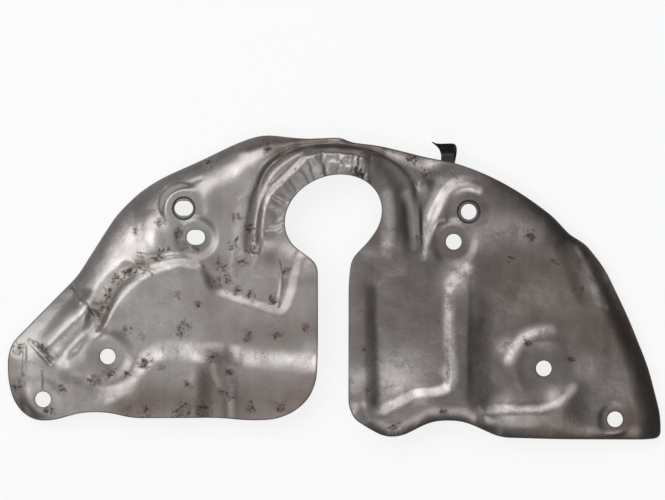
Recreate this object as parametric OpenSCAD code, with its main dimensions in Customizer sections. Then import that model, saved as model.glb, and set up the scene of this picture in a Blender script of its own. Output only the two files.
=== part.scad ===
// Pressed exhaust heat shield with a pipe opening, a slot below it and a folded hem.
// All sizes are in millimetres. The shield lies on its hollow side: x runs along it,
// y across it and z up out of its outer face. The origin is the middle of its plan at floor level.

/* [Overall] */

// Length of the shield over its two bolt corners
shield_length = 327; // [240:1:420]
// Width from the top of the arch to the lower edge
shield_width = 152.5; // [110:0.5:200]
// Height of the flat top over the lowest rim
crown_height = 15.5; // [12:0.5:22]
// Fall of the top toward the two far ends
end_fall = 4; // [0:0.5:6]
// Thickness of the sheet
sheet_t = 0.8; // [0.6:0.1:1.5]
// Share of the nominal fall at the rolled outer edge
roll_share = 1; // [0.5:0.05:1.3]

/* [Pipe opening and slot] */

// Long diameter of the oval pipe opening
opening_long = 49.6; // [36:0.2:54]
// Short diameter of the oval pipe opening
opening_short = 40.2; // [30:0.2:46]
// Tilt of the long diameter
opening_tilt = 22.7; // [0:0.1:40]
// Width of the slot below the opening
slot_w = 15.1; // [8:0.1:22]
// Width of the folded hem round the opening
hem_w = 10.6; // [6:0.2:13]
// Rise of the folded hem over the collar
hem_rise = 0.8; // [0.4:0.1:1.4]
// Height of the wrinkles in the hem
wrinkle_h = 0.25; // [0:0.05:0.5]
// Depth of the groove that rings the collar
groove_depth = 1.8; // [0.5:0.1:3]
// Rise of the collar inside the groove
collar_rise = 1.6; // [0.5:0.1:3]

/* [Bolt holes] */

// Radius of the round bolt holes
hole_r = 3.9; // [2.6:0.1:4.6]
// End to end length of the two long holes
long_hole = 9.2; // [8:0.1:10.4]
// Width of the two long holes
long_hole_w = 7.4; // [5:0.1:8]
// Level of the outer face of the two corner pads
corner_pad_z = 9.8; // [7:0.2:11]
// Level of the outer face of the two middle pads
middle_pad_z = 12.4; // [10:0.2:13.4]
// Level of the outer face of the two lower pads near the opening
inner_pad_z = 13; // [11:0.2:14]
// Depth of the two sunk bushes below the upper pads
bush_depth = 1; // [0.8:0.1:2]
// Inside radius of the two sunk bushes
bush_r = 5.7; // [5.4:0.1:6.6]

/* [Pressed forms] */

// Rise of the broad pillow on the left lobe
pillow_rise = 1.8; // [0.5:0.1:4]
// Rise of the barrel on the left tip
barrel_rise = 2; // [0.5:0.1:4]
// Rise of the rim beside the slot on the right lobe
rim_rise = 1.6; // [0.5:0.1:3]
// Fall of the square panel on the right lobe toward its lower side
panel_depth = 0.8; // [0.4:0.1:2]
// Rise of the flat ridge right of that panel and below it
ridge_rise = 1.5; // [0.5:0.1:3]
// Rise of the boss round the right middle hole
boss_rise = 1.4; // [0.4:0.1:2]

/* [Rear clip] */

// Thickness of the clip's strip
clip_t = 0.8; // [0.6:0.1:1.4]
// Width of the foot under the sheet
clip_w = 7; // [5:0.5:8]
// Reach of the blade past the edge of the shield
clip_reach = 9.4; // [6:0.2:14]
// Rise of the blade's tip over its lowest bend
clip_lift = 4.6; // [2:0.2:8]
// Gap between the foot and the sheet it is fixed to
clip_gap = 0.15; // [0.1:0.05:0.3]

/* [Hidden] */

sheet_rgb = [0.50, 0.47, 0.45];
clip_rgb = [0.05, 0.05, 0.05];
nominal_length = 327;
nominal_width = 152.5;
kx = shield_length / nominal_length;
ky = shield_width / nominal_width;
round_fn = 48;

// Middle of the opening and of the slot
open_x = -0.6;
open_y = 35.4;
slot_x = -0.7;
slot_half = slot_w / 2;

// Outer edge from the left slot corner round the top to the right slot corner,
// each vertex with the length of its rounded corner
left_lobe = [
    [-12.2, -54.8, 4.5], [-19.2, -61.8, 5], [-29.2, -66, 5], [-42.2, -66.6, 7], [-58.2, -65.2, 7],
    [-101.2, -65.4, 5], [-113.2, -62.4, 6], [-126.2, -62.4, 6], [-140.2, -66.5, 4.5],
    [-149.2, -66.8, 4], [-156.2, -63.1, 3.5], [-161.2, -55.8, 4.5], [-163.5, -45.3, 5],
    [-163.5, -34.3, 4], [-161.2, -27.6, 3.5], [-128.8, 5.7, 4], [-115.8, 26.2, 6],
    [-109.2, 36.4, 7], [-98.2, 47.2, 6], [-87.2, 54.4, 7], [-67.2, 63.2, 7], [-49.2, 71.9, 6],
    [-36.2, 76.5, 7], [-15.2, 74.1, 6]
];
right_lobe = [
    [2.8, 74.8, 2.5], [8.8, 72.3, 2.5], [22.8, 70.7, 7], [47.8, 64.4, 7], [60.8, 62.2, 8],
    [78.8, 55.2, 8], [94.8, 46.2, 10], [109, 35.6, 4], [117.6, 26.4, 2.5], [125.6, 21.6, 3.5],
    [135.2, 9.7, 7], [147.2, -15.3, 7], [157.2, -40.3, 7], [163.2, -63.8, 5], [163.5, -75.4, 3.5],
    [156.8, -76.25, 5], [112.8, -76, 10], [82.8, -75.1, 5], [63.8, -66.4, 7], [48.8, -66.7, 6],
    [33.8, -74.3, 4.5], [25.8, -74.8, 4], [18.8, -71.6, 4]
];

// Free edge that is rolled down, its fall and the width of the roll along x
rolled_edge = [
    [-156, -64], [-161, -56.5], [-163.5, -45.5], [-163.5, -34.5], [-161, -28], [-129, 5.5],
    [-116, 26], [-109, 36.5], [-98, 47], [-87, 54.5], [-67, 63], [-49, 72], [-36, 76.5], [-15, 74],
    [3, 75], [9, 72.5], [23, 70.5], [48, 64.5], [61, 62], [79, 55], [95, 46], [109, 36],
    [118, 26], [127, 20], [135, 9.5], [147, -15.5], [157, -40.5], [163, -64], [163, -76]
];
roll_fall = [
    [-163, 3], [-150, 5.5], [-130, 11.2], [-100, 12.7], [-85, 10.5], [-75, 9], [-50, 7.5], [-36, 6],
    [-15, 3], [5, 2], [25, 2.5], [45, 3], [70, 3.2], [100, 4.5], [140, 5.5], [163, 4]
];
roll_width = [
    [-163, 14], [-150, 18], [-130, 26], [-100, 31], [-85, 27], [-75, 23], [-62, 20], [-50, 18],
    [-36, 13], [-15, 7], [5, 5], [25, 8], [45, 11], [70, 13], [110, 15], [140, 16], [163, 13]
];
lower_edge = [
    [7, -54], [10, -65.5], [19, -71.5], [26, -75], [34, -74.5], [49, -66.5], [64, -66.5],
    [83, -75], [113, -76], [163, -76]
];

// Centre lines and borders of the pressed forms
groove_line = [
    [-42, 13], [-42, 32], [-41, 43.5], [-37, 53], [-31, 60.5], [-23, 66.5], [-15, 70], [-2, 71],
    [14, 69], [24, 64.5], [34, 57], [40, 48.5], [43, 36], [44, 15], [44, 10]
];
pillow_border = [
    [-118, -22.5], [-115, -17.5], [-111.5, -9.5], [-107, -2.5], [-101, 3], [-95, 7], [-88, 10],
    [-79, 12], [-72, 12], [-67, 10], [-64, 6], [-61.5, 0.5], [-56.5, -2.7], [-43, -7],
    [-31, -10.8], [-26.5, -11.5], [-23.5, -7.5], [-21, 1.5], [-18, 13.5], [-14, 17.5], [5, 17.5],
    [5, -34], [-49, -34], [-56, -32.8], [-69, -31.8], [-84, -31], [-90, -33.2], [-98, -39.7],
    [-101.5, -44.7], [-107, -50.2], [-115.5, -53.6], [-122, -52.5], [-125.5, -47], [-125, -36.5]
];
trough_line = [[-120.5, -20], [-118, -8], [-111.5, 2], [-104, 8.5]];
barrel_line = [[-140.5, -28.5], [-123.5, -9.5]];
barrel_trough = [[-139.5, -33], [-130.5, -23.2], [-120.5, -14]];
upper_crease = [[-132, 2], [-126, -5.5], [-118.5, -14.2]];
lower_crease = [[-150.5, -27], [-146, -32], [-141.2, -37]];
rim_border = [
    [15, 68.5], [19, 64.5], [25, 58.5], [31, 50.5], [33, 41], [33, 21], [29, 14.5], [21, 9.5],
    [18, 1], [18, -66.5], [0, -66.5], [0, 8.5], [-2, 36], [-2, 68.5]
];
facet_border = [
    [43.5, 14.5], [43, 30], [43, 44], [50, 52], [62, 50.5], [58, 45.5], [55, 37], [50.5, 27], [46, 18]
];
facet_ridge = [[50, 54.5], [58, 52], [66, 50], [75, 46]];
facet_hollow = [[44.5, 48], [47.5, 43]];
panel_border = [
    [21, 1.5], [55.5, 1.5], [55.5, -50.5], [51, -52], [42, -52.5], [35, -55.5], [23.5, -61.5],
    [21, -59]
];
ridge_border = [
    [61, 5], [65, 8.5], [69, 9], [71, 6], [71.5, -10], [71, -48], [76, -58], [76, -90], [12, -90],
    [12, -66], [24, -61.5], [35, -55.5], [42, -53], [50, -52.5], [55, -50.5], [57, -46],
    [56.5, -31.5], [56.5, -1.5]
];
foot_border = [
    [73, -61], [103, -60.5], [113, -57.5], [120, -50], [127, -48], [134, -60], [136, -90], [73, -90]
];
outer_rib = [[118, 26], [124, 18], [129, 3.5], [132, -4.5], [139, -22.5]];
wing_line = [[-46, 68.5], [-33, 71], [-21, 73]];
hem_end_x = 14;

// Bolt places: x, y, flat radius, outer radius and level of each pad
left_bush = [-75.25, 39.5, 8.6, 13, inner_pad_z + bush_depth];
right_bush = [67, 37.75, 8.8, 13, inner_pad_z + bush_depth];
left_inner = [-69.25, 25, 7.4, 10.4, inner_pad_z];
right_inner = [59.5, 22.75, 7.6, 11.4, inner_pad_z];
left_middle = [-113.25, -34.5, 7.5, 15, middle_pad_z];
right_middle = [104.5, -40.5, 7.5, 14.5, middle_pad_z];
left_corner = [-145.75, -56, 5.6, 10, corner_pad_z];
right_corner = [140.25, -66, 5.6, 10, corner_pad_z];
clip_seat = [54, 51, 8.2, 11.8, crown_height + 0.2];
pads = [
    left_bush, right_bush, left_inner, right_inner, left_middle, right_middle, left_corner,
    right_corner, clip_seat
];

function smooth(t) = let(c = min(max(t, 0), 1)) c * c * (3 - 2 * c);
function hump(d, w) = let(t = min(d / w, 1)) pow(1 - t * t, 2);

// Distance from p to the stretch from a to b
function to_stretch(p, a, b) =
    let(u = b - a, t = min(max(((p - a) * u) / (u * u), 0), 1)) norm(p - a - t * u);
function to_line(p, line) = min([for (i = [1:len(line) - 1]) to_stretch(p, line[i - 1], line[i])]);
function crossings(p, b) = len([
    for (i = [0:len(b) - 1])
        let(s = b[i], e = b[(i + 1) % len(b)])
            if ((s.y > p.y) != (e.y > p.y) && p.x < s.x + (e.x - s.x) * (p.y - s.y) / (e.y - s.y)) 1
]);
function is_inside(p, b) = crossings(p, b) % 2 == 1;

// The same, below zero on the right of the line's direction
function turn(u, v) = u.x * v.y - u.y * v.x;
function left_of(p, line) =
    let(
        d = [for (i = [1:len(line) - 1]) to_stretch(p, line[i - 1], line[i])],
        m = min(d),
        k = search(m, d)[0]
    )
        turn(line[k + 1] - line[k], p - line[k]) < 0 ? -m : m;

// Depth inside a closed border, below zero outside it
function depth_in(p, b) =
    let(d = min(to_line(p, b), to_stretch(p, b[len(b) - 1], b[0]))) is_inside(p, b) ? d : -d;

// Height of the outer face at one place of the nominal plan
function base_z(p) =
    crown_height - end_fall * pow(p.x / 163, 2) - 2 * (35 - p.y) / 110
    - 0.7 * hump(norm(p - [-72, 31]), 34);
function roll_z(p) =
    let(t = min(max(-left_of(p, rolled_edge) / lookup(p.x, roll_width), -0.3), 1))
        -roll_share * lookup(p.x, roll_fall) * pow(1 - t, 2.1);
function lower_roll_z(p) = p.x < 6 ? 0 :
    let(t = min(max(left_of(p, lower_edge) / 8, -0.3), 1))
        -1.8 * smooth((p.x - 6) / 12) * pow(1 - t, 2.2);

// 1 inside a closed border and 0 outside it, over a wall of width w
function step(p, b, w) = smooth(depth_in(p, b) / w + 0.5);
function left_z(p) = p.x > 2 ? 0 :
    let(
        wall = 6.2 + 6.5 * smooth((-16 - p.y) / 12)
            - 2.5 * smooth((-106 - p.x) / 6) * smooth((p.y + 26) / 6),
        valley = smooth((p.x + 74) / 16) * smooth((-43 - p.x) / 9) * smooth((-31 - p.y) / 18)
    )
        (pillow_rise - 0.4 * smooth((p.x + 34) / 14)) * step(p, pillow_border, wall)
        - 2.6 * valley
        - 1.2 * hump(to_line(p, trough_line), 6)
        + barrel_rise * hump(to_line(p, barrel_line), 10)
        - 1.2 * hump(to_line(p, barrel_trough), 4.5)
        - 0.6 * hump(to_line(p, upper_crease), 2.5)
        - 0.6 * hump(to_line(p, lower_crease), 2.5)
        - 0.7 * hump(norm(p - [left_middle.x, left_middle.y]), 24)
        + 1.4 * hump(norm(p - [-131.5, -41]), 9);
function right_z(p) = p.x < 2 ? 0 :
    let(
        start = 2 + 11 * smooth((p.y - 42) / 12),
        wall = 5.5 + 5 * smooth((p.y + 4) / 8) + 3.5 * smooth((-47 - p.y) / 5)
            + 8 * smooth((p.x - 63) / 7),
        away = (p.x - right_middle.x - p.y + right_middle.y) / 20,
        r = norm(p - [right_middle.x, right_middle.y])
    )
        rim_rise * step(p, rim_border, 7 + 24 * hump(abs(p.y - 14), 16))
            * smooth((p.x - start) / 4) * smooth((p.y + 66) / 10)
        + ridge_rise * step(p, ridge_border, wall)
        + step(p, foot_border, 7) * (1 - smooth((-62 - p.y) / 12)) * (1 - smooth((p.x - 112) / 16))
        - panel_depth * smooth((-2 - p.y) / 46) * step(p, panel_border, 6)
        + (0.16 * min(max(p.x - 43.5, 0), 14) - 0.9) * step(p, facet_border, 6)
        + 1.2 * hump(to_line(p, facet_ridge), 7)
        - 0.7 * hump(to_line(p, facet_hollow), 4)
        - boss_rise * (1 - smooth(away + 0.2)) * smooth((r - 14.5) / 6.5) * (1 - smooth((r - 22) / 28))
        - 0.7 * hump(to_line(p, outer_rib), 5.5)
        - 0.7 * hump(norm(p - [right_corner.x, right_corner.y]), 26);

// Collar, groove and hem: e is the distance outside the edge of the opening
function open_uv(p) =
    let(q = [(p.x - open_x) * kx, (p.y - open_y) * ky], c = cos(opening_tilt), s = sin(opening_tilt))
        [q.x * c + q.y * s, q.y * c - q.x * s];
function off_edge(p) =
    let(w = open_uv(p), k = norm([2 * w.x / opening_long, 2 * w.y / opening_short]))
        (k - 1) * norm(w) / max(k, 0.001);
function wrinkle(p) =
    let(w = open_uv(p), a = atan2(w.y, w.x))
        sin(a * 17 + 86 * sin(a * 5)) + 0.6 * sin(a * 31 + 115);
function collar_z(p) = p.y < 2 || abs(p.x) > 52 ? 0 :
    let(
        d = to_line(p, groove_line),
        e = off_edge(p),
        inner = is_inside(p, groove_line) && (p.x < 0 || p.y > 45) ? 1 : 0,
        fade = smooth((p.y - 2) / 26),
        left = smooth((18.5 - p.x) / 3),
        hem = inner * smooth((hem_w - e) / 1.6) * smooth((p.y - 16) / 9) * smooth((hem_end_x + 0.7 - p.x) / 1.4)
    )
        -groove_depth * hump(d, 5) * smooth((p.y - 12.5) / 5)
        + collar_rise * inner * smooth((d - 1) / 6) * fade * left
        + 0.6 * hump(to_line(p, wing_line), 3)
        + hem * (hem_rise + wrinkle_h * wrinkle(p) * sqrt(min(max(e / 10, 0), 1)));

// Flat pads replace the form round each bolt
function pad_share(p, s) =
    smooth((s[3] - norm([(p.x - s.x) * kx, (p.y - s.y) * ky])) / (s[3] - s[2]));
function on_pads(p, z, i = 0) = i == len(pads) ? z :
    let(w = pad_share(p, pads[i])) on_pads(p, z * (1 - w) + pads[i][4] * w, i + 1);
function face_z(p) =
    on_pads(p, base_z(p) + roll_z(p) + lower_roll_z(p) + left_z(p) + right_z(p) + collar_z(p));

// Grid lines, closer together near the opening
gx = concat(
    [for (i = [0:26]) -167 + i * 4.25], [for (i = [0:37]) -52.5 + i * 2.9],
    [for (i = [0:25]) 57.8 + i * 4.3]
);
gy = concat([for (i = [0:21]) -79.4 + i * 4.1], [for (i = [0:22]) 10.6 + i * 3.1]);
nx = len(gx);
ny = len(gy);

// Points of the plan outline at real size
function to_real(p) = [p.x * kx, p.y * ky];
function unit(v) = v / norm(v);
function rounded(pts, i) =
    let(
        b = to_real(pts[i]),
        a = to_real(pts[i - 1]),
        c = to_real(pts[i + 1]),
        s = b + unit(a - b) * min(pts[i][2], norm(b - a) / 2),
        e = b + unit(c - b) * min(pts[i][2], norm(c - b) / 2)
    )
        [for (t = [0:0.25:1]) (1 - t) * (1 - t) * s + 2 * t * (1 - t) * b + t * t * e];
function bends(path) = [for (i = [1:len(path) - 2]) each rounded(path, i)];
function bow(a0, a1, n) = [
    for (i = [0:n])
        let(
            a = a0 + (a1 - a0) * i / n,
            u = opening_long / 2 * cos(a),
            v = opening_short / 2 * sin(a),
            c = cos(opening_tilt),
            s = sin(opening_tilt)
        )
            to_real([open_x, open_y]) + [u * c - v * s, u * s + v * c]
];
slot_l = slot_x - slot_half / kx;
slot_r = slot_x + slot_half / kx;
corner_path = concat(
    [[slot_r, -30, 0], [slot_r + 0.1, -59.3, 3.5], [slot_r + 3, -65.8, 3]],
    [for (i = [len(right_lobe) - 1:-1:0]) right_lobe[i]],
    [for (i = [len(left_lobe) - 1:-1:0]) left_lobe[i]],
    [[slot_l - 0.7, -46.3, 4], [slot_l, -31.3, 10], [slot_l, 0, 0]]
);
arch = bow(187, -54, 40);
arch_l = [arch[0].x / kx, arch[0].y / ky];
arch_r = [arch[len(arch) - 1].x / kx, arch[len(arch) - 1].y / ky];
left_neck = [
    [slot_l, 0, 0], [slot_l - 0.1, 11.7, 4.5], [arch_l.x + 1.7, arch_l.y - 2.7, 3], [arch_l.x, arch_l.y, 0]
];
right_neck = [
    [arch_r.x, arch_r.y, 0], [arch_r.x - 2.4, arch_r.y - 3.2, 2], [slot_r + 1.6, 14.2, 4],
    [slot_r + 0.2, 3.7, 6], [slot_r, -30, 0]
];
plan = concat(bends(corner_path), bends(left_neck), arch, bends(right_neck));

module outline() {
    linear_extrude(height = 60)
        polygon(plan);
}

// Outer and inner face over the grid; the inner face follows at the sheet's thickness
face = [for (i = [0:nx - 1]) [for (j = [0:ny - 1]) face_z([gx[i], gy[j]])]];
function slope_x(i, j) =
    let(a = max(i - 1, 0), b = min(i + 1, nx - 1)) (face[b][j] - face[a][j]) / ((gx[b] - gx[a]) * kx);
function slope_y(i, j) =
    let(a = max(j - 1, 0), b = min(j + 1, ny - 1)) (face[i][b] - face[i][a]) / ((gy[b] - gy[a]) * ky);
function wall(i, j) = sheet_t * norm([1, slope_x(i, j), slope_y(i, j)]);
plan_nominal = [for (p = plan) [p.x / kx, p.y / ky]];
near = [
    for (i = [0:nx - 2]) [
        for (j = [0:ny - 2])
            let(
                m = [(gx[i] + gx[i + 1]) / 2, (gy[j] + gy[j + 1]) / 2],
                r = norm([gx[i + 1] - gx[i], gy[j + 1] - gy[j]]) * 0.75
            )
                is_inside(m, plan_nominal) || to_line(m, plan_nominal) < r
    ]
];
function kept(i, j) = i >= 0 && j >= 0 && i < nx - 1 && j < ny - 1 && near[i][j];
function top(i, j) = i * ny + j;
function low(i, j) = nx * ny + i * ny + j;
function cell(i, j) =
    let(
        a = [i, j], b = [i + 1, j], c = [i + 1, j + 1], d = [i, j + 1],
        straight = abs(face[i][j] - face[i + 1][j + 1]) < abs(face[i + 1][j] - face[i][j + 1])
    )
        straight ? [[a, b, c], [a, c, d]] : [[a, b, d], [b, c, d]];
function side(a, b) = [
    [top(a.x, a.y), top(b.x, b.y), low(b.x, b.y)],
    [top(a.x, a.y), low(b.x, b.y), low(a.x, a.y)]
];

module slab() {
    points = concat(
        [for (i = [0:nx - 1]) for (j = [0:ny - 1]) [gx[i] * kx, gy[j] * ky, face[i][j]]],
        [for (i = [0:nx - 1]) for (j = [0:ny - 1]) [gx[i] * kx, gy[j] * ky, face[i][j] - wall(i, j)]]
    );
    faces = [
        for (i = [0:nx - 2])
            for (j = [0:ny - 2])
                if (kept(i, j))
                    each concat(
                        [for (t = cell(i, j)) [for (k = [2:-1:0]) top(t[k].x, t[k].y)]],
                        [for (t = cell(i, j)) [for (k = [0:2]) low(t[k].x, t[k].y)]],
                        kept(i, j - 1) ? [] : side([i, j], [i + 1, j]),
                        kept(i + 1, j) ? [] : side([i + 1, j], [i + 1, j + 1]),
                        kept(i, j + 1) ? [] : side([i + 1, j + 1], [i, j + 1]),
                        kept(i - 1, j) ? [] : side([i, j + 1], [i, j])
                    )
    ];
    polyhedron(points = points, faces = faces, convexity = 8);
}

module at(s, z = 0) {
    translate([s.x * kx, s.y * ky, z])
        children();
}

module drill(s, r) {
    at(s, s[4] - 6)
        cylinder(h = 12, r = r, $fn = round_fn);
}

module long_drill(s) {
    for (e = [-1, 1])
        at(s, s[4] - 6)
            translate([e * (long_hole - long_hole_w) / 2, 0, 0])
                cylinder(h = 12, r = long_hole_w / 2, $fn = round_fn);
    at(s, s[4] - 6)
        translate([-(long_hole - long_hole_w) / 2, -long_hole_w / 2, 0])
            cube([long_hole - long_hole_w, long_hole_w, 12]);
}

// Sunk bush: a short wall with a floor that carries the bolt hole
module bush(s) {
    at(s, s[4] - bush_depth - sheet_t)
        difference() {
            cylinder(h = bush_depth + sheet_t, r = bush_r + sheet_t, $fn = round_fn);
            translate([0, 0, sheet_t])
                cylinder(h = bush_depth + 1, r = bush_r, $fn = round_fn);
        }
}

module pressed_sheet() {
    color(sheet_rgb)
        difference() {
            union() {
                difference() {
                    intersection() {
                        slab();
                        outline();
                    }
                    drill(left_bush, bush_r + sheet_t / 2);
                    drill(right_bush, bush_r + sheet_t / 2);
                }
                bush(left_bush);
                bush(right_bush);
            }
            long_drill(left_bush);
            long_drill(left_inner);
            drill(right_bush, hole_r);
            drill(right_inner, hole_r);
            drill(left_middle, hole_r);
            drill(right_middle, hole_r);
            drill(left_corner, hole_r);
            drill(right_corner, hole_r);
        }
}

// Side view of the clip's centre line: y across the shield, z up, bend length at each vertex
foot_z = clip_seat[4] - sheet_t - clip_gap - clip_t / 2;
dip_z = face_z([clip_seat.x + 7, 61.6]) - 1.7 * sheet_t - clip_t / 2 - 1.4;
edge_y = 63.2 * ky;
foot_y = clip_seat.y * ky;
tip_y = edge_y + clip_reach;
clip_side = [
    [foot_y - 3, foot_z, 0], [foot_y + 3.6, foot_z, 1.8], [edge_y - 1.4, dip_z + 0.4, 1.5],
    [edge_y + 2.6, dip_z, 1.5], [tip_y - 2.6, dip_z + clip_lift - 2.4, 1.2],
    [tip_y, dip_z + clip_lift, 0]
];
function bend_at(p, i) =
    let(
        a = [p[i - 1].x, p[i - 1].y],
        b = [p[i].x, p[i].y],
        c = [p[i + 1].x, p[i + 1].y],
        s = b + unit(a - b) * p[i][2],
        e = b + unit(c - b) * p[i][2]
    )
        [for (t = [0:0.25:1]) (1 - t) * (1 - t) * s + 2 * t * (1 - t) * b + t * t * e];
clip_curve = concat(
    [[clip_side[0].x, clip_side[0].y]],
    [for (i = [1:len(clip_side) - 2]) each bend_at(clip_side, i)],
    [[clip_side[5].x, clip_side[5].y]]
);
function along(i) =
    let(
        n = len(clip_curve),
        u = unit(clip_curve[min(i + 1, n - 1)] - clip_curve[max(i - 1, 0)])
    )
        [-u.y, u.x] * clip_t / 2;
clip_profile = concat(
    [for (i = [0:len(clip_curve) - 1]) clip_curve[i] + along(i)],
    [for (i = [len(clip_curve) - 1:-1:0]) clip_curve[i] - along(i)]
);
clip_plan = [
    [-clip_w / 2, foot_y - 6], [clip_w / 2, foot_y - 6], [clip_w / 2, foot_y + 3.6], [7, edge_y - 0.6],
    [7.2, tip_y - 3.8], [6.4, tip_y - 1.8], [4.6, tip_y - 0.9], [-2, tip_y - 0.9], [-5.6, tip_y + 0.6],
    [-5.2, tip_y - 1.4], [-2.2, tip_y - 3.4], [-1, tip_y - 5.6], [-0.8, edge_y - 0.6],
    [-clip_w / 2, foot_y + 3.6]
];

// Bent spring strip: a foot on the back of the sheet and a hooked blade past the edge
module rear_clip() {
    color(clip_rgb)
        translate([clip_seat.x * kx, 0, 0])
            intersection() {
                translate([-20, 0, 0])
                    rotate([90, 0, 90])
                        linear_extrude(height = 40)
                            polygon(clip_profile);
                translate([0, 0, -20])
                    linear_extrude(height = 60)
                        polygon(clip_plan);
            }
}

pressed_sheet();
rear_clip();
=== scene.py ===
import math

import bpy
import numpy as np
from bpy.props import FloatProperty, FloatVectorProperty, PointerProperty
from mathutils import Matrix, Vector
from mathutils.geometry import delaunay_2d_cdt


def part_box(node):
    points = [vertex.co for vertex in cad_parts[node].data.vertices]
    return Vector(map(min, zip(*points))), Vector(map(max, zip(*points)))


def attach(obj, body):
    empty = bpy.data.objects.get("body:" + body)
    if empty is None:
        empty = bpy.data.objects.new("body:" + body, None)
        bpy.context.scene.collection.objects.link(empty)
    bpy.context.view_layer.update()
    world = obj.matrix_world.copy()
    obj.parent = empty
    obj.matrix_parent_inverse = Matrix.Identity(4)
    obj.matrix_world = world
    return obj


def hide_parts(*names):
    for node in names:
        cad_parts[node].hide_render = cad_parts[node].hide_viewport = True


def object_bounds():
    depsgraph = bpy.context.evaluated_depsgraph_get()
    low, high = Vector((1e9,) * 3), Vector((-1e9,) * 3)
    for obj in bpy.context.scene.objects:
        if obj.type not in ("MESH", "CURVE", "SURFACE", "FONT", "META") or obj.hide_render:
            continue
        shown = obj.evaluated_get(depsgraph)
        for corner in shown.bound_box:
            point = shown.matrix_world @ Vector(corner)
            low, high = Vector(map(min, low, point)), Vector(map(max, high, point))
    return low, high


bl_info = {
    "name": "Exhaust heat shield",
    "version": (1, 0, 0),
    "blender": (4, 5, 0),
    "location": "3D View > Sidebar > Heat Shield",
    "description": "Dresses the packed heat shield as used pressed sheet metal with a black spring clip",
    "category": "Object",
}

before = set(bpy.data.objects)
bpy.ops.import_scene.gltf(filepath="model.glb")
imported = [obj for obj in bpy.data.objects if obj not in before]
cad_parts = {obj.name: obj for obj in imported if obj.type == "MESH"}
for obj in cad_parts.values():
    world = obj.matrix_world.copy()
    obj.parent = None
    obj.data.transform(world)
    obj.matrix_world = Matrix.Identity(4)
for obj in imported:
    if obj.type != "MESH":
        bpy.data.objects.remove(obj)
CAD_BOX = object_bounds()
MM = 0.001

# The photograph's frame: its size in pixels, the real size of one pixel and the place of its middle
PHOTO_W = 665
PIXEL_MM = 0.5
PHOTO_MIDDLE = (-1.0, 18.65)

# Plan of the shield in millimetres, as in the part's source; a lobe's rows are x, y, corner cut
OPEN_X, OPEN_Y = -0.6, 35.4
OPEN_LONG, OPEN_SHORT, OPEN_TILT = 49.6, 40.2, math.radians(22.7)
SLOT_L, SLOT_R = -8.25, 6.85

# The sheet's crown, and how far it falls to the sides and to the lower edge
CROWN = 15.5
SIDE_FALL, HALF_LENGTH = 4, 163
LOWER_FALL, LOWER_RUN = 2, 110

# The rounding of the cut edges, and how the slope under the back is measured
EDGE_ROUND, CLIP_ROUND = 0.35, 0.15
SLOPE_REACH, SLOPE_CAP = 0.3, 1.5

LEFT_LOBE = [
    (-12.2, -54.8, 4.5), (-19.2, -61.8, 5), (-29.2, -66, 5), (-42.2, -66.6, 7), (-58.2, -65.2, 7),
    (-101.2, -65.4, 5), (-113.2, -62.4, 6), (-126.2, -62.4, 6), (-140.2, -66.5, 4.5),
    (-149.2, -66.8, 4), (-156.2, -63.1, 3.5), (-161.2, -55.8, 4.5), (-163.5, -45.3, 5),
    (-163.5, -34.3, 4), (-161.2, -27.6, 3.5), (-128.8, 5.7, 4), (-115.8, 26.2, 6),
    (-109.2, 36.4, 7), (-98.2, 47.2, 6), (-87.2, 54.4, 7), (-67.2, 63.2, 7), (-49.2, 71.9, 6),
    (-36.2, 76.5, 7), (-15.2, 74.1, 6),
]
RIGHT_LOBE = [
    (2.8, 74.8, 2.5), (8.8, 72.3, 2.5), (22.8, 70.7, 7), (47.8, 64.4, 7), (60.8, 62.2, 8),
    (78.8, 55.2, 8), (94.8, 46.2, 10), (109, 35.6, 4), (117.6, 26.4, 2.5), (125.6, 21.6, 3.5),
    (135.2, 9.7, 7), (147.2, -15.3, 7), (157.2, -40.3, 7), (163.2, -63.8, 5), (163.5, -75.4, 3.5),
    (156.8, -76.25, 5), (112.8, -76, 10), (82.8, -75.1, 5), (63.8, -66.4, 7), (48.8, -66.7, 6),
    (33.8, -74.3, 4.5), (25.8, -74.8, 4), (18.8, -71.6, 4),
]

# Bolt pads: x, y, flat radius, outer radius, level; the first two hold a sunk bush
PADS = [
    (-75.25, 39.5, 8.6, 13, 14), (67, 37.75, 8.8, 13, 14),
    (-69.25, 25, 7.4, 12, 13), (59.5, 22.75, 7.6, 13, 13),
    (-113.25, -34.5, 7.5, 15, 12.4), (104.5, -40.5, 7.5, 14.5, 12.4),
    (-145.75, -56, 5.2, 12, 9.8), (140.25, -66, 5.2, 9.5, 9.8),
]
BUSH_R, BUSH_DEPTH = 5.7, 1.0
HOLE_R = 3.9
LONG_HOLE, LONG_HOLE_W = 9.2, 7.4
LONG_HOLES = (0, 2)

# Rolled rims: the free edge, and its fall and the width of the roll along x
UPPER_EDGE = [
    (-156, -64), (-161, -56.5), (-163.5, -45.5), (-163.5, -34.5), (-161, -28), (-129, 5.5),
    (-116, 26), (-109, 36.5), (-98, 47), (-87, 54.5), (-67, 63), (-49, 72), (-36, 76.5), (-15, 74),
    (3, 75), (9, 72.5), (23, 70.5), (48, 64.5), (61, 62), (79, 55), (95, 46), (109, 36), (118, 26),
    (127, 20), (135, 9.5), (147, -15.5), (157, -40.5), (163, -64), (163, -76),
]
ROLL_FALL = [
    (-163, 3), (-150, 5.5), (-130, 11.2), (-100, 12.7), (-85, 10.5), (-75, 9), (-50, 7.5), (-36, 6),
    (-15, 3), (5, 2), (25, 2.5), (45, 2.6), (70, 2.2), (100, 3.4), (140, 5.5), (163, 4),
]
ROLL_WIDTH = [
    (-163, 14), (-150, 18), (-130, 26), (-100, 31), (-85, 27), (-75, 22), (-62, 19), (-50, 18),
    (-36, 13), (-15, 7), (5, 5), (25, 8), (45, 11), (70, 13), (110, 12), (140, 11), (163, 13),
]
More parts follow.
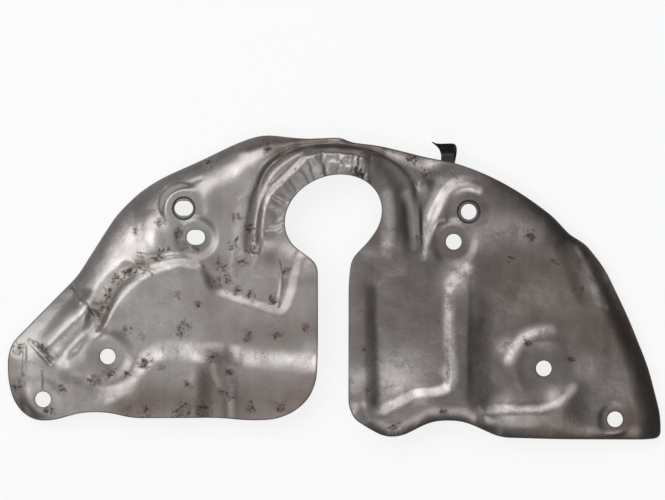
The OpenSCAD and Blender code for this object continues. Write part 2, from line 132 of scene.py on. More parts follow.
LOWER_EDGE = [
    (7, -54), (10, -65.5), (19, -71.5), (26, -75), (34, -74.5), (49, -66.5), (64, -66.5), (83, -75),
    (113, -76), (163, -76),
]

# Borders of the raised and sunk fields
PILLOW = [
    (-118, -22.5), (-115, -17.5), (-111.5, -9.5), (-107, -2.5), (-101, 3), (-95, 7), (-88, 10),
    (-79, 12), (-72, 12), (-67, 10), (-64, 6), (-61.5, 0.5), (-56.5, -2.7), (-43, -7), (-31, -10.8),
    (-26.5, -11.5), (-23.5, -7.5), (-21, 1.5), (-18, 13.5), (-14, 17.5), (5, 17.5), (5, -34),
    (-49, -34), (-56, -32.8), (-69, -31.8), (-84, -31), (-90, -33.2), (-98, -39.7), (-101.5, -44.7),
    (-107, -50.2), (-115.5, -53.6), (-122, -52.5), (-125.5, -47), (-125, -36.5),
]
PLATEAU = [
    (61, 5), (65, 8.5), (69, 9), (71, 6), (71.5, -10), (71, -48), (76, -58), (76, -90), (12, -90),
    (12, -66), (24, -61.5), (35, -55.5), (42, -53), (50, -52.5), (55, -50.5), (57, -46),
    (56.5, -31.5), (56.5, -1.5),
]
FOOT = [
    (73, -61), (103, -60.5), (113, -57.5), (120, -50), (127, -48), (134, -60), (136, -90),
    (73, -90),
]
FACET_TOP = [
    (44.5, 12), (46.3, 18), (49.8, 29), (53.8, 38.5), (57.5, 45.5), (62, 49.6), (67.8, 49.8),
    (74, 47),
]
PANEL = [
    (21, 1.5), (55.5, 1.5), (55.5, -50.5), (51, -52), (42, -52.5), (35, -55.5), (23.5, -61.5),
    (21, -59),
]

# Ridges above zero and creases below it: height, half width, centre line
FORMS = [
    (-1.2, 6, [(-120.5, -20), (-118, -8), (-111.5, 2), (-104, 8.5)]),
    (0.45, 1.0, [(-105, 6), (-102, 9.5), (-95, 13.5), (-86, 15.5), (-77, 16.2), (-70, 14.5),
        (-66, 10.5)]),
    (1.9, 10, [(-140.5, -28.5), (-123.5, -9.5)]),
    (-0.9, 5.5, [(-139.5, -33), (-130.5, -23.2), (-120.5, -14)]),
    (0.35, 3, [(-133, -33.5), (-127, -27), (-118.5, -18.5)]),
    (-0.55, 1.3, [(-132, 2), (-126, -5.5), (-118.5, -14.2)]),
    (0.5, 1.6, [(-132.5, -0.5), (-127.5, -7)]),
    (-0.55, 1.2, [(-150.5, -27), (-146, -32), (-141.2, -37)]),
    (0.5, 1.5, [(-152.5, -27), (-147.5, -32.5), (-142.5, -38)]),
    (0.5, 1.2, [(-155, -29), (-155, -35.5), (-155.5, -43)]),
    (0.45, 0.9, [(-28, 13), (-26.5, 2), (-28.3, -9.5)]),
    (0.2, 2.5, [(-50, 18), (-50, 5)]),
    (0.18, 4, [(-51.2, -19), (-51.2, -28), (-51, -36)]),
    (-0.8, 3.5, [(15, 54), (15.4, 60), (15.4, 66)]),
    (-0.3, 4.5, [(44.5, 49), (46.8, 44)]),
    (-0.6, 7, [(116, 20), (120.5, 11), (123.5, 3), (126, -4)]),
    (0.35, 4, [(-46, 68), (-33, 71), (-21, 73)]),
    (0.35, 5, [(-47, 20), (-46.5, 32), (-45, 43)]),
    (0.5, 6, [(-80, 12), (-90, 22), (-92, 34)]),
    (-0.2, 1.6, [(-84, 49), (-80, 50.5), (-72.5, 52), (-67, 54)]),
]

# Creases of the hem, gathered where the metal was folded in
WRINKLES = [
    (0.5, 2.2, [(-31.5, 46.5), (-23.5, 43.5)]),
    (-0.5, 1.8, [(-31.5, 43.5), (-23.5, 40.5)]),
    (-0.45, 3.4, [(-32, 38), (-26.5, 36.5)]),
    (0.5, 2.2, [(-32.5, 31.5), (-26, 33.2)]),
    (-0.5, 1.3, [(-34, 27.2), (-26.5, 28.7)]),
    (-0.45, 1.4, [(-23, 55.5), (-18.5, 48)]),
    (0.35, 2, [(-26, 51), (-21, 45.5)]),
    (0.35, 1.8, [(-18.5, 59.5), (-14, 52.5)]),
    (-0.4, 1.3, [(-13.5, 63.5), (-9, 54.5)]),
    (0.35, 2, [(-9.5, 65), (-6.5, 56)]),
    (-0.5, 1.3, [(-5.7, 67), (-4.2, 56)]),
    (-0.3, 1, [(-3.5, 61), (3, 62.5), (7.5, 59)]),
    (-0.3, 1, [(2, 66), (3, 62.5), (1, 57)]),
    (0.3, 2.6, [(5, 66), (5.5, 61)]),
    (-0.5, 1, [(9.6, 67), (9.6, 56)]),
    (0.4, 1, [(11, 66.5), (10.8, 56)]),
    (-0.5, 0.9, [(12.1, 66), (12, 55.5)]),
    (0.3, 1, [(13.4, 65.5), (13.2, 55)]),
]
# The groove round the collar, the line that closes its ring, the hem's fold and the split in it
GROOVE = [
    (-42, 13), (-42, 22), (-41.5, 30.5), (-39.5, 43.5), (-37, 52.5), (-33.5, 59.5), (-26, 66),
    (-18, 69.5), (-11, 70.5), (0, 71), (11, 70), (19, 68.5), (26, 65), (33, 60.5), (38, 54.5),
    (41, 47.5), (42.5, 36), (43.5, 15), (43.5, 10),
]
COLLAR_END = [(43.5, 5), (-42, 5)]
HEM_FOLD = [
    (-37.5, 14), (-37, 24), (-36.5, 33), (-35, 40.5), (-32, 47), (-30.5, 49), (-26, 53), (-21, 58),
    (-16, 63), (-12.5, 66), (-7, 68), (0, 68.5), (7.5, 68), (11.5, 67), (14.5, 65.5),
]
SPLIT = [(16.4, 66.4), (15.7, 58.2), (13.8, 54.4)]
RIM_BORDER = [
    (15, 68.5), (19, 64.5), (25, 58.5), (31, 50.5), (33, 41), (33, 21), (29, 14.5), (21, 9.5),
    (18, 1), (18, -66.5), (0, -66.5), (0, 8.5), (-2, 36), (-2, 68.5),
]

# Crevices darkened with dirt and painted shade: share, half width, line
CREVICE_DIRT_AND_SHADE = [
    (1.0, 1.0, [(-42.3, 38), (-40.6, 47), (-37, 54.5), (-32.5, 61.5), (-25.5, 66), (-17, 69.3),
        (-8, 70.7), (0, 71), (10, 70), (18, 68.5), (25.5, 65), (32.5, 60.5), (37.8, 54.5),
        (40.5, 48)]),
    (0.45, 2.2, [(-42.3, 24), (-41.5, 33), (-39.5, 43.5), (-37, 53), (-31, 61)]),
    (0.5, 0.7, [(-38.6, 26), (-37.8, 36), (-35.5, 44), (-32, 50.5), (-25, 57.5), (-18, 64.5),
        (-12, 68)]),
    (1.0, 0.45, [(16.4, 66.4), (15.7, 58.2), (13.8, 54.4)]),
    (0.6, 0.4, [(9.6, 66.5), (9.6, 56)]),
    (0.6, 0.35, [(12.1, 66), (12, 55.5)]),
    (0.6, 0.7, [(-5.7, 57), (-7.3, 55.8)]),
    (0.7, 0.8, [(-1.5, 67.2), (1.5, 67)]),
    (0.8, 0.5, [(-132, 2), (-126, -5.5), (-118, -14.6)]),
    (0.6, 0.45, [(-150.5, -27), (-146, -32), (-141.2, -37)]),
    (0.9, 0.8, [(-146.2, -42), (-145.8, -47), (-146.3, -51)]),
    (0.35, 2.5, [(-54.5, -40), (-54.3, -52), (-54.5, -66)]),
]

# Brown film along the forms; the wide bands low on the left lobe only make it darker towards the bottom:
# share, half width, line
FILM_LINES = [
    (0.9, 24, [(-58, -57), (-36, -57), (-12, -55)]),
    (0.6, 14, [(-40, -24), (-12, -22)]),
    (0.5, 7, [(-33, 24), (-32, 36), (-28, 46), (-20, 56)]),
    (0.6, 8, [(-58, 12), (-64, 15), (-66, 24)]),
    (0.6, 26, [(100, 10), (118, -8), (128, -30)]),
    (0.55, 5.5, [(-118.5, -18), (-115.5, -10), (-110, 1), (-103, 7.5)]),
    (0.45, 2.5, [(-102, 10), (-95, 14.5), (-86, 17)]),
    (1.0, 12, [(-62, -42), (-64, -52), (-67, -66)]),
    (0.9, 16, [(-104, -58), (-84, -56), (-70, -58)]),
    (0.5, 4, [(-54, -36), (-53.5, -50), (-54, -66)]),
    (0.45, 6, [(-41, 24), (-39.5, 40), (-34, 53), (-25, 62), (-14, 67)]),
    (0.6, 3, [(-12, 71), (2, 71.8), (14, 70.5), (26, 66.5)]),
    (1.0, 2.4, [(-43, 68.6), (-34, 71.2), (-26, 71.4), (-16, 72), (-4, 73)]),
    (0.7, 7, [(122, 22), (136, 6), (146, -14), (156, -38), (161, -62)]),
    (0.35, 6, [(17, -4), (17, -30), (17, -52)]),
    (0.4, 5, [(-24, 2), (-12, 4)]),
    (0.35, 7, [(60, 47), (52, 40), (50, 28), (53, 16)]),
    (0.5, 8, [(-112, -42), (-120, -34)]),
    (0.4, 6, [(-162, -36), (-160, -50), (-152, -60)]),
]

# Painted highlights along the forms, steel made brighter where highlights fall: share, half width, line
HIGHLIGHT_LINES = [
    (0.7, 4.4, [(57.5, 4), (57, -16), (57.5, -31), (59, -40), (58.5, -46.5), (55, -50.5),
        (48, -51.8), (40, -53.2), (33, -57), (25, -61)]),
    (1.0, 5, [(57, 2.5), (60, 6), (66, 9)]),
    (1.0, 3, [(44.6, 15.5), (46, 22), (49, 32), (53, 41), (57, 48), (64, 51), (72, 48.5)]),
    (0.9, 4.5, [(45.5, 26), (46.5, 36), (49, 46)]),
    (0.8, 4, [(40, 21), (40, 28), (39, 38), (36, 46)]),
    (0.6, 5, [(26, 18), (27, 34), (26, 46)]),
    (0.9, 6, [(-78, 14), (-88, 20), (-96, 30)]),
    (0.9, 3, [(-47.5, 20), (-47, 32), (-45.5, 43), (-42, 53)]),
    (0.5, 4, [(126, 12), (130.5, 0), (133, -7)]),
    (0.6, 3.4, [(-51.5, -36), (-52.2, -50), (-51.5, -64)]),
    (0.45, 12, [(74, 26), (84, 30), (96, 28)]),
    (0.8, 4, [(47.5, 56), (53, 53), (61, 51.5)]),
    (0.8, 4, [(28, 67), (38, 63), (48, 58)]),
    (0.8, 3.6, [(78, -61.5), (90, -61.5), (103, -60.8)]),
    (0.7, 4, [(105, -60), (113, -56), (119, -50)]),
    (0.8, 5.5, [(87, -35), (89.8, -30), (94.2, -25), (100, -22.6), (107, -22)]),
    (0.8, 2.6, [(-56, -2.8), (-47, -5.6), (-38, -8.6), (-31.5, -10.5)]),
    (0.7, 2.5, [(-27, 8), (-27, -6)]),
    (0.8, 3, [(-99.5, 3), (-91, 8.6), (-82, 10.4), (-74, 11), (-67.5, 9.5)]),
    (0.9, 0.9, [(-112.5, -16), (-109, -9), (-104.5, -1.5), (-99, 4)]),
    (1.0, 0.8, [(-37.2, 22), (-36.7, 32), (-35, 40.5), (-31.5, 47), (-26.5, 52.5), (-20, 59),
        (-13.5, 65)]),
    (0.6, 2.2, [(-39.8, 20), (-39.4, 32), (-37.5, 43), (-33.5, 52), (-27, 60), (-19, 66)]),
    (0.8, 4, [(-126, -52), (-116, -56), (-107, -53), (-100, -45), (-94, -40)]),
    (0.8, 5, [(-88, -34), (-76, -33)]),
    (0.6, 5, [(-48, -35), (-30, -36), (-14, -36)]),
    (0.6, 5, [(-146, -10), (-132, 6), (-118, 26)]),
    (0.7, 4, [(-135, -22), (-126, -11)]),
    (0.8, 2.5, [(-138, -38), (-133, -35)]),
    (0.6, 4, [(-52, 60), (-44, 63), (-36, 66)]),
    (0.5, 2, [(121, 20), (127, 10), (131, 2), (136, -10)]),
]

# Rust and soot: x, y, radius
RUST = [
    (-96.6, 11.4, 8), (-104, 7.5, 5), (-109, 3, 5), (-113, -3, 5), (-116, -10, 5.5), (-118, -16, 4),
    (-117.5, -20.5, 3), (-90, 14.2, 4), (-85.5, 17.8, 4.5), (-95, -38.3, 5), (-76.5, -20.8, 6.5),
    (-103.8, -21.5, 4), (-120, -47.1, 5), (-112.5, -43, 5), (-104, -43, 3), (-58.8, 2.6, 5),
    (-55.5, 11, 5), (-53.5, 4, 4), (-52, -54, 4), (-51.9, -42.3, 3.5), (-57, -52, 3),
    (-28.8, -22.7, 4), (-43.4, -24.8, 4), (-30.5, -6.4, 4), (-42.3, -4.6, 4), (-49, -1.5, 3),
    (-61.9, -36.8, 3.5), (-78.3, 27.3, 4), (-75.9, 20.5, 4), (-68.8, 19.3, 3), (-87, 32.6, 3.5),
    (-100, 28, 3), (-43.3, 28.1, 5), (-48.7, 35, 4), (-50, 22, 5), (-41, 20, 6), (-45, 12, 4),
    (-77, -62, 7), (-66, -60, 6), (-95, -62.9, 5), (-103.6, -62.5, 4), (-42, -60, 4),
    (-87.1, -40.6, 3), (-78, -3.5, 3), (-145.2, -30.3, 4), (-135.8, -50.4, 4), (-158.5, -31, 4),
    (-158, -50, 5), (-143.2, -62, 4), (-63.3, 62, 4), (-33.8, 69.1, 4), (-73, -48, 4), (-68, -8, 3),
    (-28, -60, 4), (-24, 8, 3), (-14, -20, 3), (-96, -25, 3), (38.9, 64.9, 5), (42, 24.3, 3),
    (46, 57, 4), (98, 27, 5), (110, 12, 4), (88, 14, 3), (122, -2, 4), (60, 56, 3), (96, -27, 3),
    (118, -36, 2.5), (18, -52, 3), (30, -70, 4), (54, -62, 3), (14, -30, 3),
]

# Brown film from heat and dirt; the patches low on the left lobe only make it darker towards the bottom: x,
# y, radius, share
FILM = [
    (-32, 15, 7, 0.9), (-24, 14, 6, 0.7), (-62, -8, 12, 0.45), (-55, -22, 12, 0.45),
    (-73, 12, 7, 0.5), (-78, -52, 12, 0.45), (-100, -58, 9, 0.6), (-58, 40, 8, 0.4),
    (-19, 70.5, 6, 1.0), (-28, 70, 6, 1.0), (-34, 71.5, 5, 0.8), (-8, 71.5, 6, 0.9),
    (6, 71, 6, 0.9), (18, 68, 6, 0.7), (-66, -59, 8, 1.0), (-60, -48, 8, 0.6), (-78, -56, 10, 0.5),
    (-114, -9, 7, 0.7), (-108, -45, 6, 0.7), (-157, -50, 7, 0.8), (-30, -55, 16, 0.5),
    (-58, 2, 6, 0.5), (-30, -20, 14, 0.35), (12, -5, 9, 0.6), (11, -25, 8, 0.4), (38, -12, 16, 0.3),
    (70, -15, 12, 0.25), (95, 0, 34, 0.45), (118, 15, 16, 0.5), (138, -20, 18, 0.8),
    (130, -35, 14, 0.5), (150, -65, 12, 0.8), (90, -30, 20, 0.4), (110, -66, 14, 0.5),
    (75, 48, 9, 0.4), (25, 12, 9, 0.5), (40, 64, 8, 0.3), (3, 60, 7, 0.35), (90, 35, 16, 0.4),
]

# Painted highlights, places made brighter where highlights fall: x, y, radius and, where it isn't 1, the
# share
PAINTED_HIGHLIGHTS = [
    (-88, -10, 14, 0.6), (-96, -24, 10, 0.5), (-44, 2, 6, 0.5), (-112, 22, 10, 0.9),
    (-118, 12, 9, 0.9), (-150, -46, 11), (-8, 62, 6), (2, 63, 6), (9, 62, 5), (-140, -50, 8),
    (-135.5, -36, 5), (-132, -21, 4.5), (-127, -13, 4), (-109, 14, 8), (-100, 24, 8), (-88, 11, 4),
    (-74, 13, 4), (-47, 56, 7), (-41, 61, 4), (-75, -31.5, 7), (-105, -50, 5), (-47, -6, 6),
    (-33, -10.5, 4), (-12, -34, 7), (-22, 16, 5), (52, 45, 7), (60, 51, 5), (47, 30, 4), (61, 4, 7),
    (57, -42, 4), (42, -52.5, 6), (28, -58, 5), (85, -60, 6), (30, -46, 14), (12, -45, 6),
    (48, 62, 6), (86, -30, 5), (110, -56, 5), (126, -40, 6, 0.4), (133, 5, 3, 0.5),
]


# Shape functions on arrays of places in the plan
def smooth(t):
    """Rises softly from 0 at 0 to 1 at 1."""
    t = np.clip(t, 0, 1)
    return t * t * (3 - 2 * t)


def hump(d, w):
    """1 on a line, falling softly to 0 at its half width."""
    t = np.clip(np.abs(d) / w, 0, 1)
    return (1 - t * t) ** 2


def flow(line, steps=5):
    """A soft curve through the points of a line."""
    p = np.array(line, float)
    p = np.vstack([2 * p[0] - p[1], p, 2 * p[-1] - p[-2]])
    t = (np.arange(steps) / steps)[:, None]
    out = [
        0.5 * (2 * p[i] + (p[i + 1] - p[i - 1]) * t
               + (2 * p[i - 1] - 5 * p[i] + 4 * p[i + 1] - p[i + 2]) * t * t
               + (3 * p[i] - p[i - 1] - 3 * p[i + 1] + p[i + 2]) * t ** 3)
        for i in range(1, len(p) - 2)
    ]
    return np.vstack(out + [p[-2:-1]])


def offsets(x, y, line):
    """Distance to a line of straight stretches, below zero on the right of its direction."""
    best = np.full(x.shape, 1e9)
    sign = np.ones(x.shape)
    for a, b in zip(line[:-1], line[1:]):
        u = (b[0] - a[0], b[1] - a[1])
        t = np.clip(((x - a[0]) * u[0] + (y - a[1]) * u[1]) / (u[0] ** 2 + u[1] ** 2), 0, 1)
        d = np.hypot(x - a[0] - t * u[0], y - a[1] - t * u[1])
        near = d < best - 1e-9
        sign = np.where(near, np.where(u[0] * (y - a[1]) < u[1] * (x - a[0]), -1, 1), sign)
        best = np.where(near, d, best)
    return best * sign


def inside(x, y, border):
    """Which places lie inside a closed border."""
    within = np.zeros(x.shape, bool)
    for (ax, ay), (bx, by) in zip(border, np.roll(border, -1, axis=0)):
        spans = (ay > y) != (by > y)
        if ay != by:
            within ^= spans & (x < ax + (bx - ax) * (y - ay) / (by - ay))
    return within


def depth_in(x, y, border):
    """Distance inside a closed border, below zero outside it."""
    ring = np.vstack([border, border[:1]])
    return np.abs(offsets(x, y, ring)) * np.where(inside(x, y, np.array(border, float)), 1, -1)


def along(x, rows):
    """A value given at some places along x, straight between them."""
    rows = np.array(rows, float)
    return np.interp(x, rows[:, 0], rows[:, 1])


def open_uv(x, y):
    """Places along and across the tilted oval opening."""
    c, s = math.cos(OPEN_TILT), math.sin(OPEN_TILT)
    return (x - OPEN_X) * c + (y - OPEN_Y) * s, (y - OPEN_Y) * c - (x - OPEN_X) * s


def off_opening(x, y):
    """Distance outside the edge of the oval opening."""
    u, v = open_uv(x, y)
    k = np.maximum(np.hypot(2 * u / OPEN_LONG, 2 * v / OPEN_SHORT), 1e-3)
    return (k - 1) * np.hypot(u, v) / k


def step(x, y, border, width):
    """1 inside a closed border and 0 outside it, over a wall of the given width."""
    return smooth(depth_in(x, y, border) / width + 0.5)


def roll_z(x, y):
    """Fall of the rolled rims at the upper and the lower edge."""
    t = np.clip(-offsets(x, y, UPPER_EDGE) / along(x, ROLL_WIDTH), -0.3, 1)
    z = -along(x, ROLL_FALL) * (1 - t) ** 2.1
    t = np.clip(offsets(x, y, LOWER_EDGE) / 8, -0.3, 1)
    return z - 1.8 * smooth((x - 6) / 12) * (1 - t) ** 2.2


def left_z(x, y):
    """Relief of the left lobe: the pillow, the valley below it and the dome by the tip."""
    wall = 6.2 + 6.5 * smooth((-16 - y) / 12) - 2.5 * smooth((-106 - x) / 6) * smooth((y + 26) / 6)
    z = (1.8 - 0.4 * smooth((x + 34) / 14)) * step(x, y, flow(PILLOW, 3), wall)
    low = smooth((-27 - y) / (20 + 9 * smooth((x + 62) / 10)))
    z -= 3 * smooth((x + 73) / 16) * smooth((-45 - x) / 9) * low
    z -= 0.7 * hump(np.hypot(x + 113.25, y + 34.5), 24)
    return z + 1.4 * hump(np.hypot(x + 131.5, y + 41), 9)


def right_z(x, y):
    """Relief of the right lobe: rim, plateau, foot, panel and the boss round the middle hole."""
    start = 2 + 11 * smooth((y - 42) / 12)
    wall = 7 + 24 * hump(y - 14, 16)
    z = 1.4 * step(x, y, RIM_BORDER, wall + 1) * smooth((x - start) / 4) * smooth((y + 66) / 10)
    wall = 5.5 + 5 * smooth((y + 4) / 8) + 3.5 * smooth((-47 - y) / 5) + 12 * smooth((x - 63) / 7)
    z += 1.5 * step(x, y, flow(PLATEAU, 3), wall)
    z += 1.5 * step(x, y, FOOT, 6.5) * (1 - smooth((-62 - y) / 12)) * (1 - smooth((x - 112) / 16))
    z -= 0.8 * smooth((-2 - y) / 46) * step(x, y, PANEL, 6)
    away = (x - 104.5 - y - 40.5) / 20
    r = np.hypot(x - 104.5, y + 40.5)
    z += 0.2 * hump(r - 15, 6) * (1 - smooth(away + 0.9))
    return z - 1.7 * smooth((r - 13.5) / 9) * (1 - smooth((r - 23) / 26)) * (1 - smooth(away + 0.75))


def facet(x, y, z):
    """The sloping facet between the groove and the right pads, cut into a height."""
    cut = smooth((x - 33) / 9) * smooth((y - 12) / 9)
    z = z - 1.1 * cut * (1 - smooth((y - 44) / 10)) * (1 - smooth((x - 43) / 5))
    d = offsets(x, y, flow(FACET_TOP))
    level = 14.1 + 0.7 * smooth((y - 26) / 9) + 0.7 * (1 - smooth((y - 12) / 10))
    off_groove = np.abs(offsets(x, y, flow(GROOVE)))
    outer = ~inside(x, y, np.vstack([flow(GROOVE), COLLAR_END]))
    high = smooth((y - 40) / 9)
    start = smooth((off_groove + 0.3) / 1.6) * (1 - high + high * smooth((x - 36) / 14))
    share = outer * start * smooth((y - 11) / 7) * smooth((d + 6) / 5)
    share = share * (1 - smooth((d - 7) / (6 + 5 * high))) * (1 - smooth((x - 66) / 14))
    z = z * (1 - share) + share * (level - 0.25 * np.clip(d, 0, 6))
    return z - 0.8 * hump(offsets(x, y, [(57, 18), (59.5, 22.75), (67, 37.75)]), 17)


def collar_z(x, y):
    """The groove, the collar inside it and the folded hem with its wrinkles and split."""
    groove = flow(GROOVE)
    d = np.abs(offsets(x, y, groove))
    off_edge = off_opening(x, y)
    inner = inside(x, y, np.vstack([groove, COLLAR_END]))
    fade = smooth((y - 2) / 26)
    up_to_split = smooth((18.5 - x) / 3) * ((x < 0) | (y > 45))
    sharp = smooth((y - 40) / 18)
    right = smooth((x - 12) / 14)
    left_side = smooth((4 - x) / 16)
    deep = 1.4 - 0.75 * left_side - 1.2 * right
    wide = 6 - 2 * left_side - 3 * right
    z = -deep * hump(d, wide) * smooth((y - 12.5) / 8)
    z -= 0.9 * sharp * (1 - 0.4 * right) * hump(d, 1.6)
    z += 1.3 * inner * smooth((d - 0.6) / 4.6) * fade * up_to_split
    fold = offsets(x, y, flow(HEM_FOLD))
    on_hem = (off_edge > -4) * inner * smooth((y - 16) / 9)
    on_hem = on_hem * smooth((15.8 - x) / 0.8) * ((x < 0) | (y > 45))
    z -= 0.45 * on_hem * hump(fold - 2.4, 1.8)
    face = on_hem * smooth((0.9 - fold) / 2.2)
    z += face * (0.9 - 0.5 * smooth(-fold / 9))
    wx = x + 0.5 * np.sin(y / 1.9 + x / 5.3) + 0.3 * np.sin(y / 0.9)
    wy = y + 0.5 * np.sin(x / 1.7 - y / 4.9) + 0.3 * np.sin(x / 0.8)
    for height, width, line in WRINKLES:
        z += face * height * (0.6 + 0.4 * smooth((x + 24) / 10)) * hump(offsets(wx, wy, line), width)
    return z - 0.7 * (on_hem > 0.5) * hump(offsets(x, y, SPLIT), 0.5)


def uneven_z(x, y):
    """Slight waves of a used pressing."""
    z = 0.10 * np.sin(x / 9.1 + 0.7 * np.sin(y / 13)) * np.sin(y / 11.3 + 1.3)
    z += 0.07 * np.sin(x / 5.3 + 2 + np.sin(y / 7.7)) * np.sin(y / 6.1 + x / 19)
    return z + 0.03 * np.sin(x / 2.3 + y / 5.9) * np.sin(y / 2.9 - x / 7.1)


def sheet_z(x, y):
    """Height of the outer face, in millimetres."""
    z = CROWN - SIDE_FALL * (x / HALF_LENGTH) ** 2 - LOWER_FALL * (35 - y) / LOWER_RUN
    z -= 0.7 * hump(np.hypot(x + 72, y - 31), 34)
    z -= 0.9 * smooth((-38 - y) / 36) * smooth((-x - 5) / 8)
    z -= 0.7 * hump(np.hypot(x - 140.25, y + 66), 26)
    z += roll_z(x, y)
    z += np.where(x < 2, left_z(x, y), right_z(x, y))
    z += collar_z(x, y) + uneven_z(x, y)
    for height, width, line in FORMS:
        z += height * hump(offsets(x, y, flow(line)), width)
    z = np.where(x > 30, facet(x, y, z), z)
    for px, py, flat, outer, level in PADS:
        share = smooth((outer - np.hypot(x - px, y - py)) / (outer - flat))
        z = z * (1 - share) + level * share
    for px, py, *_ in PADS[:2]:
        r = np.hypot(x - px, y - py)
        z -= BUSH_DEPTH * smooth((BUSH_R + 0.25 - r) / 0.5) + 0.3 * hump(r - 5.2, 0.6)
    return z


def bands(x, y, rows):
    """Soft bands along lines: share, half width, line."""
    out = np.zeros(x.shape)
    for share, width, line in rows:
        out = np.maximum(out, share * hump(offsets(x, y, flow(line)), width))
    return out


def dirt(x, y):
    """Share of packed dirt and painted shade in the crevices and round the bushes."""
    out = bands(x, y, CREVICE_DIRT_AND_SHADE)
    for px, py, *_ in PADS[:2]:
        out = np.maximum(out, hump(np.hypot(x - px, y - py) - 5.4, 0.8))
    return out


def patches(x, y, rows):
    """Soft round patches: x, y, radius and, where it isn't 1, the share."""
    out = np.zeros(x.shape)
    for px, py, r, *share in rows:
        spot = np.exp(-((x - px) ** 2 + (y - py) ** 2) / (0.9 * r * r))
        out = np.maximum(out, (share[0] if share else 1) * spot)
    return out


# Plan outline and holes
def rounded(a, b, c, cut):
    """The soft corner at b between a and c, cut back by a distance."""
    a, b, c = (np.array(p[:2], float) for p in (a, b, c))
    s = b + (a - b) * min(cut / np.linalg.norm(a - b), 0.5)
    e = b + (c - b) * min(cut / np.linalg.norm(c - b), 0.5)
    return [(1 - t) ** 2 * s + 2 * t * (1 - t) * b + t * t * e for t in np.linspace(0, 1, 5)]


def bends(path):
    """The path with each of its inner corners rounded by the corner's own cut."""
    triples = zip(path[:-2], path[1:-1], path[2:])
    return [p for a, b, c in triples for p in rounded(a, b, c, b[2])]


def arch(start, end, count):
    """Points of the oval opening's edge between two angles in degrees."""
    c, s = math.cos(OPEN_TILT), math.sin(OPEN_TILT)
    out = []
    for a in np.radians(np.linspace(start, end, count + 1)):
        u, v = OPEN_LONG / 2 * math.cos(a), OPEN_SHORT / 2 * math.sin(a)
        out.append(np.array([OPEN_X + u * c - v * s, OPEN_Y + u * s + v * c]))
    return out


def outline():
    """The shield's edge as one closed loop of points, evenly spaced."""
    bow = arch(187, -54, 90)
    first, last = bow[0], bow[-1]
    corners = [(SLOT_R, -30, 0), (SLOT_R + 0.1, -59.3, 3.5), (SLOT_R + 3, -65.8, 3)]
    corners += RIGHT_LOBE[::-1] + LEFT_LOBE[::-1]
    corners += [(SLOT_L - 0.7, -46.3, 4), (SLOT_L, -31.3, 10), (SLOT_L, 0, 0)]
    left_neck = [
        (SLOT_L, 0, 0), (SLOT_L - 0.1, 11.7, 4.5), (first[0] + 1.7, first[1] - 2.7, 3),
        (first[0], first[1], 0),
    ]
    right_neck = [
        (last[0], last[1], 0), (last[0] - 2.4, last[1] - 3.2, 2), (SLOT_R + 1.6, 14.2, 4),
        (SLOT_R + 0.2, 3.7, 6), (SLOT_R, -30, 0),
    ]
    loop = bends(corners) + bends(left_neck) + bow + bends(right_neck)
    return respaced(np.array(loop), 0.8)


def respaced(loop, step):
    """The same closed loop with points one step apart."""
    ring = np.vstack([loop, loop[:1]])
    run = np.concatenate([[0], np.cumsum(np.linalg.norm(np.diff(ring, axis=0), axis=1))])
    at = np.linspace(0, run[-1], int(run[-1] / step) + 1)[:-1]
    return np.c_[np.interp(at, run, ring[:, 0]), np.interp(at, run, ring[:, 1])]


def circle(x, y, r, stretch=0.0, count=56):
    """A round loop, or a long one whose middle is stretched along x."""
    a = 2 * math.pi * np.arange(count) / count
    return np.c_[x + r * np.cos(a) + np.where(np.cos(a) > 0, 1, -1) * stretch / 2, y + r * np.sin(a)]


def inset(loop, by):
    """The loop moved to its left by a distance."""
    d = np.roll(loop, -1, axis=0) - np.roll(loop, 1, axis=0)
    d /= np.linalg.norm(d, axis=1)[:, None]
    return loop + by * np.c_[-d[:, 1], d[:, 0]]


def signed_area(loop):
    """Area of a loop, above zero where it runs anticlockwise."""
    nxt = np.roll(loop, -1, axis=0)
    return 0.5 * np.sum(loop[:, 0] * nxt[:, 1] - nxt[:, 0] * loop[:, 1])


def holes():
    """Each bolt hole as a loop."""
    out = []
    for k, (x, y, *_) in enumerate(PADS):
        if k in LONG_HOLES:
            out.append(circle(x, y, LONG_HOLE_W / 2, LONG_HOLE - LONG_HOLE_W))
        else:
            out.append(circle(x, y, HOLE_R))
    return out


def both_sides(line, gap):
    """A closed loop that runs along a line at a gap and back on its other side."""
    line = flow(line, 8)
    run = np.concatenate([[0], np.cumsum(np.linalg.norm(np.diff(line, axis=0), axis=1))])
    at = np.linspace(0, run[-1], int(run[-1] / 0.5))
    mid = np.c_[np.interp(at, run, line[:, 0]), np.interp(at, run, line[:, 1])]
    side = np.gradient(mid, axis=0)
    side = gap * np.c_[-side[:, 1], side[:, 0]] / np.linalg.norm(side, axis=1)[:, None]
    return np.vstack([mid + side, (mid - side)[::-1]])


def hex_points(x0, x1, y0, y1, step):
    """An even grid of points, every other row moved by half a step."""
    rows = []
    for i, y in enumerate(np.arange(y0, y1, step * 0.866)):
        across = np.arange(x0 + (i % 2) * step / 2, x1, step)
        rows.append(np.c_[across, np.full(len(across), y)])
    return np.vstack(rows)


def near_any(points, others, gap):
    """Which points lie within a gap of any of the others, by cells."""
    cells = {}
    for p in others:
        cells.setdefault((int(p[0] // gap), int(p[1] // gap)), []).append(p)
    out = np.zeros(len(points), bool)
    for i, (x, y) in enumerate(points):
        cx, cy = int(x // gap), int(y // gap)
        for a in (-1, 0, 1):
            for b in (-1, 0, 1):
                for q in cells.get((cx + a, cy + b), ()):
                    if (q[0] - x) ** 2 + (q[1] - y) ** 2 < gap * gap:
                        out[i] = True
    return out


